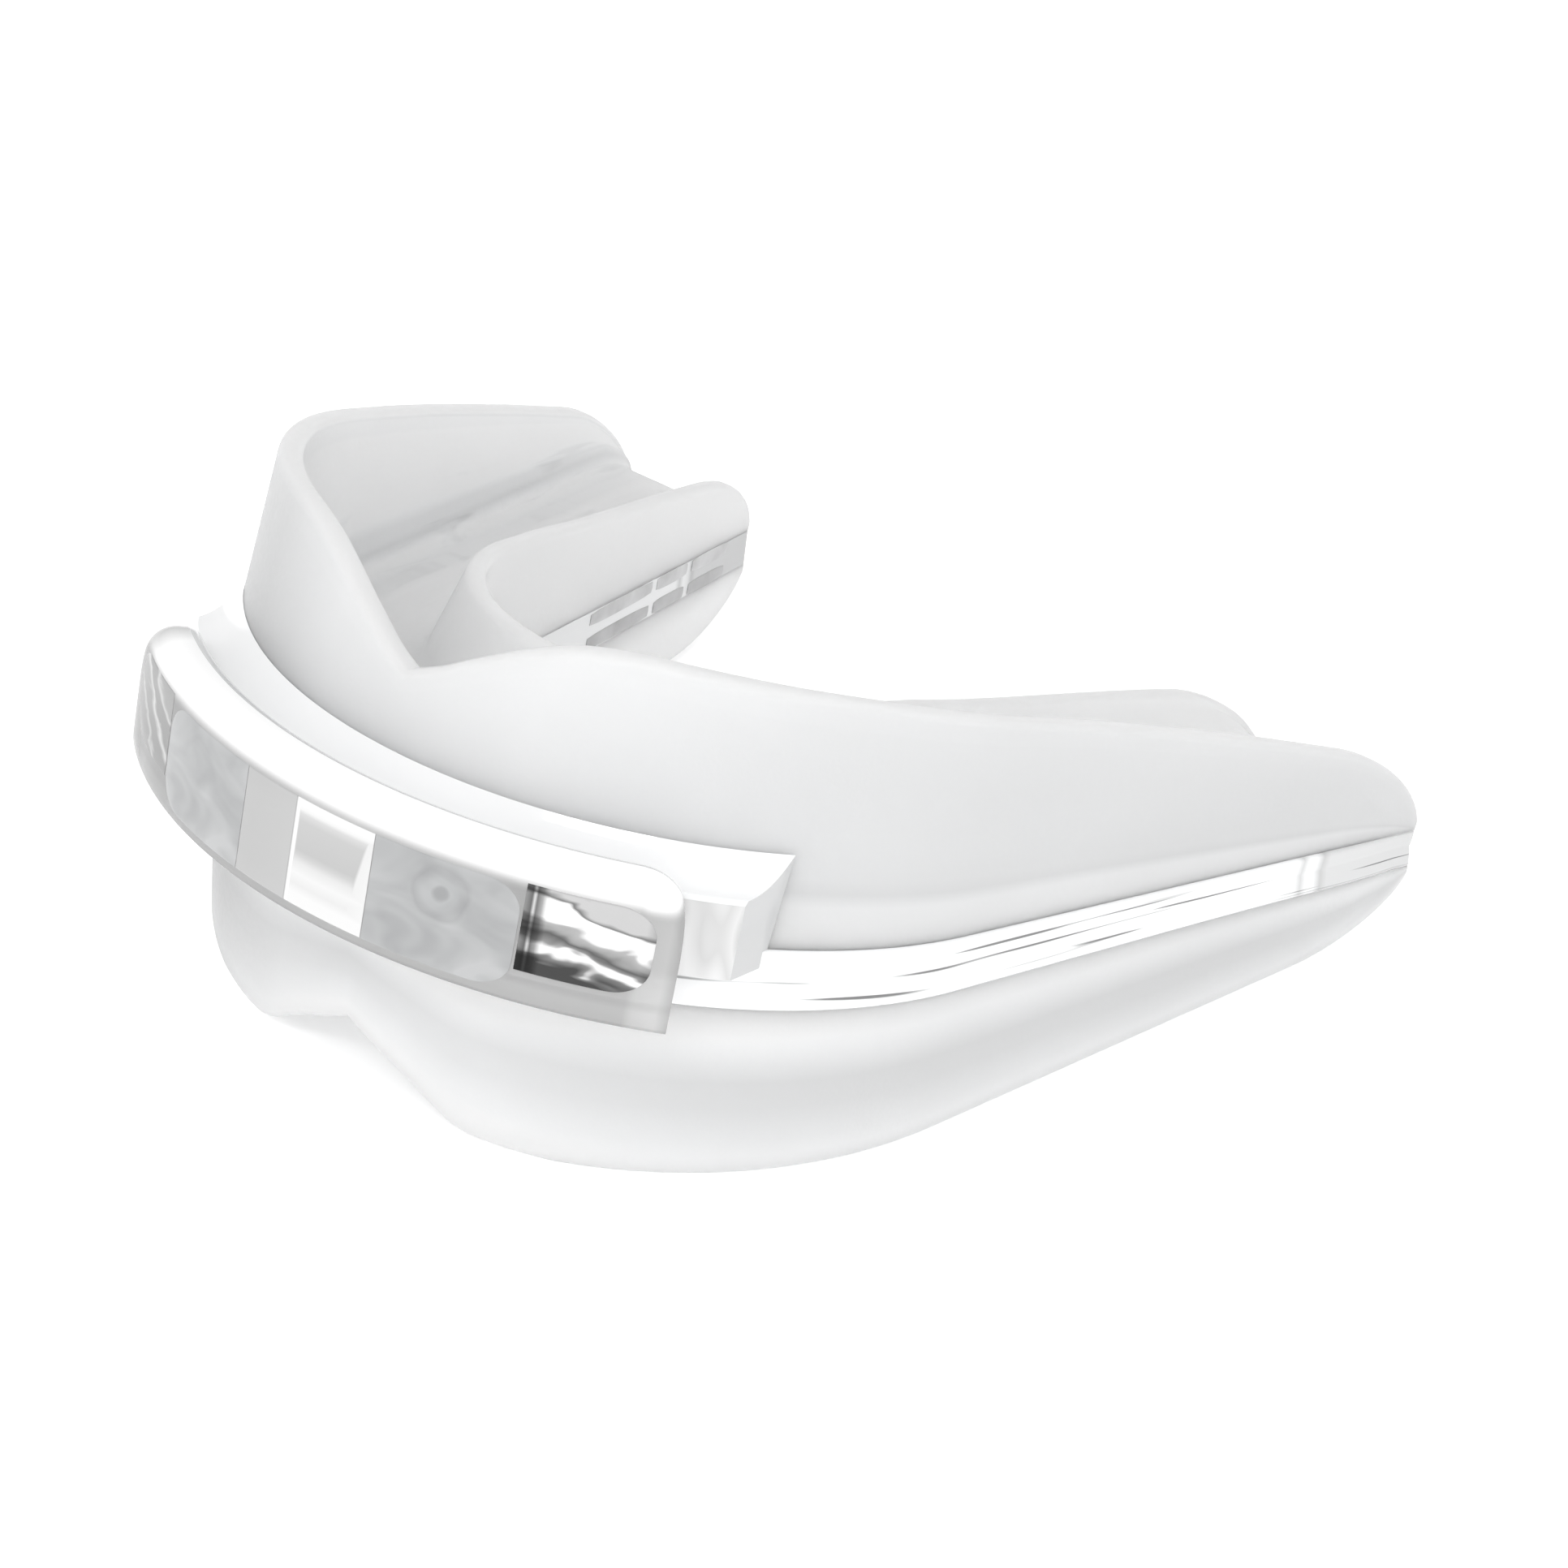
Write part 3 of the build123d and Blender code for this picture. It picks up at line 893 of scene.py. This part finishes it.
def build_pad(name, side, up, node):
    """Ribbed strip: a row of rounded cells, one row of a molar bite pad."""
    solids = []
    for start, end in PAD_CELLS:
        rows = []
        for y in np.linspace(start, end, 9):
            ease = 1 - PAD_TAPER * abs(2 * (y - start) / (end - start) - 1) ** 4
            middle = (CORE_TOP + float(core_bottom_at(y))) / 2
            loop = []
            for turn in np.linspace(0, 2 * math.pi, 24, endpoint=False):
                offset = PAD_OFFSET + squared(math.cos(turn)) * PAD_WIDTH / 2
                lift = squared(math.sin(turn)) * PAD_THICK / 2 * ease
                z = middle + up * (PAD_GAP / 2 + PAD_THICK / 2 + lift)
                radius = ARCH_RADIUS + offset
                along = (y - ARCH_CENTRE_Y + radius * math.cos(LEG_TURN)) / math.sin(LEG_TURN)
                x = side * (radius * math.sin(LEG_TURN) + along * math.cos(LEG_TURN))
                loop.append((x, y, z))
            rows.append(loop)
        solids.append(loft(np.array(rows)))
    # Lower pads get the darker copy: painted shade.
    pad = new_piece(name, *join_solids(solids), PAD if up > 0 else LOWER_PAD_PAINTED_SHADE)
    finish_piece(pad, "bite_pad", node)


for side, side_name in ((-1, "right"), (1, "left")):
    for up, arch_name in ((1, "upper"), (-1, "lower")):
        node = side_name + "_" + arch_name + "_bite_pad"
        build_pad(node + "_ribbed", side, up, node)


# ---------------------------------------------------------------- neck

def ring_point(radius, angle):
    """x and y of a point at a radius from the bumper's axis, `angle` degrees from the front."""
    turn = math.radians(angle)
    return radius * math.sin(turn), BUMPER_AXIS_Y - radius * math.cos(turn)


def wall_y(x, z):
    """y of the tray's outer wall at x, above the core, and of the core's face below its top."""
    if z < CORE_TOP:
        return ARCH_CENTRE_Y - math.sqrt((ARCH_RADIUS + CORE_PROUD + JOINT_GAP) ** 2 - x * x)
    lean = WALL_LEAN * (z - CORE_TOP)
    return ARCH_CENTRE_Y - math.sqrt((ARCH_RADIUS + JOINT_GAP) ** 2 - x * x) + lean


NECK_FOOT = 0.02
NECK_EDGE = 0.25
NECK_SETBACK = 0.18
NECK_CURVE = 2.2


def build_neck():
    """Shelf between tray and bumper, its top a smooth hollow that climbs to the tray's wall."""
    rows = []
    for x in np.linspace(-NECK_HALF_WIDTH, NECK_HALF_WIDTH, 121):
        front = BUMPER_AXIS_Y - math.sqrt(BUMPER_BACK ** 2 - x * x)
        loop = [(x, front, NECK_FOOT)]
        loop += [(x, front, z) for z in np.linspace(0.4, NECK_FRONT_TOP - NECK_EDGE, 8)]
        back = wall_y(x, NECK_WALL_TOP)
        depth = back - front
        for k in np.linspace(0, 1, 13):
            z = NECK_FRONT_TOP + (NECK_WALL_TOP - NECK_FRONT_TOP) * k ** NECK_CURVE
            loop.append((x, front + NECK_SETBACK + (depth - NECK_SETBACK) * k, z))
        climb = np.linspace(NECK_WALL_TOP, CORE_TOP + NECK_FOOT, 9)[1:]
        loop += [(x, wall_y(x, z), z) for z in climb]
        loop += [(x, wall_y(x, 0), z) for z in (CORE_TOP - NECK_FOOT, NECK_FOOT)]
        rows.append(loop)
    piece = new_piece("bumper_neck_clear", *loft(np.array(rows)), NECK)
    piece.data.materials.append(NECK_END_PAINTED_SHADE)
    piece.data.materials.append(NECK_FRONT)
    # End faces take the darker copy of the neck's material, painted shade; front faces take the grey,
    # streaked front, painted shade and reflection.
    for face in piece.data.polygons:
        if abs(face.normal.x) > 0.9:
            face.material_index = 1
        elif face.normal.y < -0.3 and abs(face.normal.z) < 0.4:
            face.material_index = 2
    return piece


finish_piece(build_neck(), "clear_neck", "bumper_neck")


# ---------------------------------------------------------------- bumper

def ring_place(point):
    """Radius, angle and height about the bumper's axis of a packed-frame point in metres."""
    x, y, z = point / MM
    flat_y, flat_z = y - SHIFT_Y, z - SHIFT_Z
    bite_y = flat_y * TILT_COS - flat_z * TILT_SIN
    bite_z = flat_y * TILT_SIN + flat_z * TILT_COS
    back = BUMPER_AXIS_Y - bite_y
    return math.hypot(x, back), math.degrees(math.atan2(x, back)), bite_z


def wrap_cell(piece, first, last):
    """UV map over a cell: u runs with the angle and v with the height."""
    layer = piece.data.uv_layers.new(name="wrap")
    for loop in piece.data.loops:
        _, angle, height = ring_place(piece.data.vertices[loop.vertex_index].co)
        layer.data[loop.index].uv = (
            (angle - first) / (last - first), (height - CELL_BOTTOM) / (CELL_TOP - CELL_BOTTOM),
        )


def ring_loft(section_at, angles):
    """Loft of sections given as (radius, z) points for each angle about the bumper's axis."""
    rows = []
    for angle in angles:
        rows.append([(*ring_point(radius, angle), z) for radius, z in section_at(angle)])
    return loft(np.array(rows))


def rounded_box(r_low, r_high, z_low, z_high, soft):
    """Closed rounded rectangle of (radius, z) points."""
    return (
        corner((r_high - soft, z_low + soft), soft, -90, 0, 4)
        + run((r_high, z_low + soft), (r_high, z_high - soft), 6)
        + corner((r_high - soft, z_high - soft), soft, 0, 90, 4)
        + corner((r_low + soft, z_high - soft), soft, 90, 180, 4)
        + run((r_low, z_high - soft), (r_low, z_low + soft), 6)
        + corner((r_low + soft, z_low + soft), soft, 180, 270, 4)
    )


def end_ease(angle, half_angle, length):
    """1 along a bar, falling to 0 over `length` degrees at each end as a rounded corner does."""
    into = max(0.0, (abs(angle) - (half_angle - length)) / length)
    return (1 - min(1.0, into) ** CORNER_POWER) ** (1 / CORNER_POWER)


END_ROUND = 5.5
END_DROP = 2.6
BROW = 1.5
NAPE = 0.8
LOW_EDGE = 0.3
BACK_EDGE_RADIUS = 28.6
BAR_GAP = 0.02


def bumper_section(angle):
    """Outer section of the bumper: flat face, broad rounded brow, fine edges below."""
    top = BUMPER_TOP - END_DROP * (1 - end_ease(angle, BUMPER_HALF_ANGLE, END_ROUND))
    foot = BUMPER_BOTTOM + LOW_EDGE
    inner = BUMPER_BACK + BAR_GAP
    return (
        corner((BUMPER_RADIUS - LOW_EDGE, foot), LOW_EDGE, -90, 0, 3)
        + run((BUMPER_RADIUS, foot), (BUMPER_RADIUS, top - BROW), 10)
        + corner((BUMPER_RADIUS - BROW, top - BROW), BROW, 0, 90, 8)
        + corner((inner + NAPE, top - NAPE), NAPE, 90, 180, 5)
        + run((inner, top - NAPE), (inner, foot), 10)
        + corner((inner + LOW_EDGE, foot), LOW_EDGE, 180, 270, 3)
    )


CELL_LINING = 0.4
WINDOW_PROUD = 0.015
CELL_END_ROUND = 4.0
CELL_END_DROP = 1.6
CELL_SOFTNESS = 0.18
MIDDLE_CELL_SPAN = (8.5, 24.0)
MIDDLE_CELL_HEIGHTS = (-1.6, 4.5)
END_CELL_SPAN = (24.3, 37.0)
END_CELL_HEIGHTS = (-0.3, 4.7)
CORNER_POWER = 2.2


def cell_solid(first, last, low, high):
    """Wall of an air cell between two angles, seen as a window in the bar's face. Its end away
    from the middle of the bar is rounded."""
    outer_end = last if last > -first else first
    angles = (first + last) / 2 - (last - first) / 2 * np.cos(np.linspace(0, math.pi, 41))

    def section(angle):
        into = max(0.0, 1 - abs(angle - outer_end) / CELL_END_ROUND)
        shrink = CELL_END_DROP * (1 - math.sqrt(1 - into ** CORNER_POWER))
        outer = BUMPER_RADIUS + WINDOW_PROUD
        return rounded_box(outer - CELL_LINING, outer, low + shrink, high - shrink, CELL_SOFTNESS)

    return ring_loft(section, angles)


def build_bar():
    """The bar itself, its ends rounded off and its back edge and end faces greyer than the rest as
    painted shade.
    """
    rounding = END_ROUND * (1 - np.cos(np.linspace(0, math.pi / 2, 14)))
    angles = np.concatenate([
        rounding[:-1] - BUMPER_HALF_ANGLE,
        np.linspace(END_ROUND - BUMPER_HALF_ANGLE, BUMPER_HALF_ANGLE - END_ROUND, 81),
        BUMPER_HALF_ANGLE - rounding[-2::-1],
    ])
    bar = new_piece("front_bumper_clear", *ring_loft(bumper_section, angles), BUMPER)
    wrap_cell(bar, -BUMPER_HALF_ANGLE, BUMPER_HALF_ANGLE)
    bar.data.materials.append(BACK_EDGE_PAINTED_SHADE)
    # Back-edge and end faces take the greyer copy: painted shade.
    for face in bar.data.polygons:
        radius, _, height = ring_place(face.center)
        if len(face.vertices) > 4 or radius < BACK_EDGE_RADIUS and height > NECK_FRONT_TOP:
            face.material_index = 1
    return bar


def build_cell(name, side, span, heights, material):
    """Wall of one air cell, `side` -1 on the wearer's right. Its span is in degrees from the middle
    of the bar."""
    first, last = sorted(side * angle for angle in span)
    cell = new_piece(name, *cell_solid(first, last, *heights), material)
    wrap_cell(cell, first, last)
    cell.modifiers.new("crisp", "WEIGHTED_NORMAL")
    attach(cell, "root")


finish_piece(build_bar(), "clear_bumper", "front_bumper")
for side, side_name, middle, end in (
    (-1, "right", RIGHT_MIDDLE_CELL, RIGHT_END_CELL), (1, "left", MIDDLE_CELL, END_CELL),
):
    build_cell(side_name + "_middle_cell_wall", side, MIDDLE_CELL_SPAN, MIDDLE_CELL_HEIGHTS, middle)
    build_cell(side_name + "_end_cell_wall", side, END_CELL_SPAN, END_CELL_HEIGHTS, end)


# ---------------------------------------------------------------- centre post

POST_BACK = BUMPER_BACK + 0.2
POST_BOTTOM = BUMPER_BOTTOM + 0.5
POST_TOP = CELL_TOP + 0.3
POST_SOFTNESS = 0.2


def build_post():
    """Clear block that locks the bumper to the core."""
    angles = np.linspace(-POST_VIEW_ANGLE, POST_VIEW_ANGLE, 21)
    face = BUMPER_RADIUS + WINDOW_PROUD
    block = rounded_box(POST_BACK, face, POST_BOTTOM, POST_TOP, POST_SOFTNESS)
    piece = new_piece("centre_post_clear", *ring_loft(lambda angle: block, angles), POST)
    wrap_cell(piece, -POST_VIEW_ANGLE, POST_VIEW_ANGLE)
    return piece


finish_piece(build_post(), "clear_post", "centre_post")


# ---------------------------------------------------------------- stage, light, camera

def build_floor():
    """Plain pale floor under the guard."""
    mesh = bpy.data.meshes.new("floor")
    shape = bmesh.new()
    bmesh.ops.create_circle(shape, cap_ends=True, segments=96, radius=4.0)
    shape.to_mesh(mesh)
    shape.free()
    floor = bpy.data.objects.new("floor", mesh)
    bpy.context.scene.collection.objects.link(floor)
    material, nodes, links, shader = new_material("pale_floor")
    tone = object_noise(nodes, links, 3, 2)
    links.new(
        colour_mix(nodes, links, tone, (0.90, 0.90, 0.90), (0.92, 0.92, 0.92)),
        shader.inputs["Base Color"],
    )
    shader.inputs["Roughness"].default_value = 0.9
    shader.inputs["Specular IOR Level"].default_value = 0.0
    shader.inputs["Emission Color"].default_value = (1, 1, 1, 1)
    shader.inputs["Emission Strength"].default_value = 0.35
    mesh.materials.append(material)


build_floor()


def area_light(name, place, aim, size, power):
    """Soft rectangular lamp aimed at a point, in metres and watts."""
    data = bpy.data.lights.new(name, "AREA")
    data.shape = "RECTANGLE"
    data.size, data.size_y = size
    data.energy = power
    lamp = bpy.data.objects.new(name, data)
    bpy.context.scene.collection.objects.link(lamp)
    lamp.location = place
    lamp.rotation_euler = (Vector(aim) - Vector(place)).to_track_quat("-Z", "Y").to_euler()


BRIGHT_SIDE = (0.55, -0.70, 0.45)
DIM_SKY = 0.86
BRIGHT_SKY = 1.08


def build_world():
    """Pale surroundings, brighter on one side, and plain white where the camera sees them."""
    world = bpy.data.worlds.new("studio")
    bpy.context.scene.world = world
    world.use_nodes = True
    nodes, links = world.node_tree.nodes, world.node_tree.links
    look = nodes.new("ShaderNodeTexCoord")
    facing = nodes.new("ShaderNodeVectorMath")
    facing.operation = "DOT_PRODUCT"
    facing.inputs[1].default_value = BRIGHT_SIDE
    links.new(look.outputs["Generated"], facing.inputs[0])
    sky = nodes.new("ShaderNodeMapRange")
    sky.inputs["From Min"].default_value = -1
    sky.inputs["To Min"].default_value = DIM_SKY
    sky.inputs["To Max"].default_value = BRIGHT_SKY
    links.new(facing.outputs["Value"], sky.inputs["Value"])
    seen = nodes.new("ShaderNodeLightPath")
    backdrop = nodes.new("ShaderNodeMath")
    backdrop.operation = "MAXIMUM"
    links.new(sky.outputs["Result"], backdrop.inputs[0])
    links.new(seen.outputs["Is Camera Ray"], backdrop.inputs[1])
    links.new(backdrop.outputs["Value"], nodes["Background"].inputs["Color"])
    nodes["Background"].inputs["Strength"].default_value = 1.0


build_world()
area_light("key_softbox", (0.15, -0.34, 0.42), (0, 0, 0.01), (0.22, 0.08), 0.5)

# Camera: where the eye stands in the bite frame (degrees, mm)
EYE_AZIMUTH = math.radians(32.8)
EYE_ELEVATION = math.radians(23.58)
EYE_ROLL = math.radians(11.79)
EYE_DISTANCE = 224.97
EYE_TARGET = (-7.11, 22.56, -10.88)
LENS = 79.24


def build_camera():
    """Camera that looks down on the guard's left front, turned with it into its resting pose."""
    back = np.array([
        math.sin(EYE_AZIMUTH) * math.cos(EYE_ELEVATION),
        -math.cos(EYE_AZIMUTH) * math.cos(EYE_ELEVATION),
        math.sin(EYE_ELEVATION),
    ])
    level = np.array([math.cos(EYE_AZIMUTH), math.sin(EYE_AZIMUTH), 0])
    upright = np.cross(back, level)
    right = level * math.cos(EYE_ROLL) + upright * math.sin(EYE_ROLL)
    up = upright * math.cos(EYE_ROLL) - level * math.sin(EYE_ROLL)
    origin = to_world([0, 0, 0])
    turned = [(to_world(axis) - origin) / MM for axis in (right, up, back)]
    place = to_world(np.array(EYE_TARGET) + back * EYE_DISTANCE)
    data = bpy.data.cameras.new("camera")
    data.lens = LENS
    data.sensor_width = 36
    data.clip_start = 0.01
    camera = bpy.data.objects.new("camera", data)
    bpy.context.scene.collection.objects.link(camera)
    camera.matrix_world = Matrix([
        [*(float(axis[i]) for axis in turned), float(place[i])] for i in range(3)
    ] + [[0, 0, 0, 1]])
    bpy.context.scene.camera = camera


build_camera()
bpy.context.scene.view_settings.view_transform = "Standard"
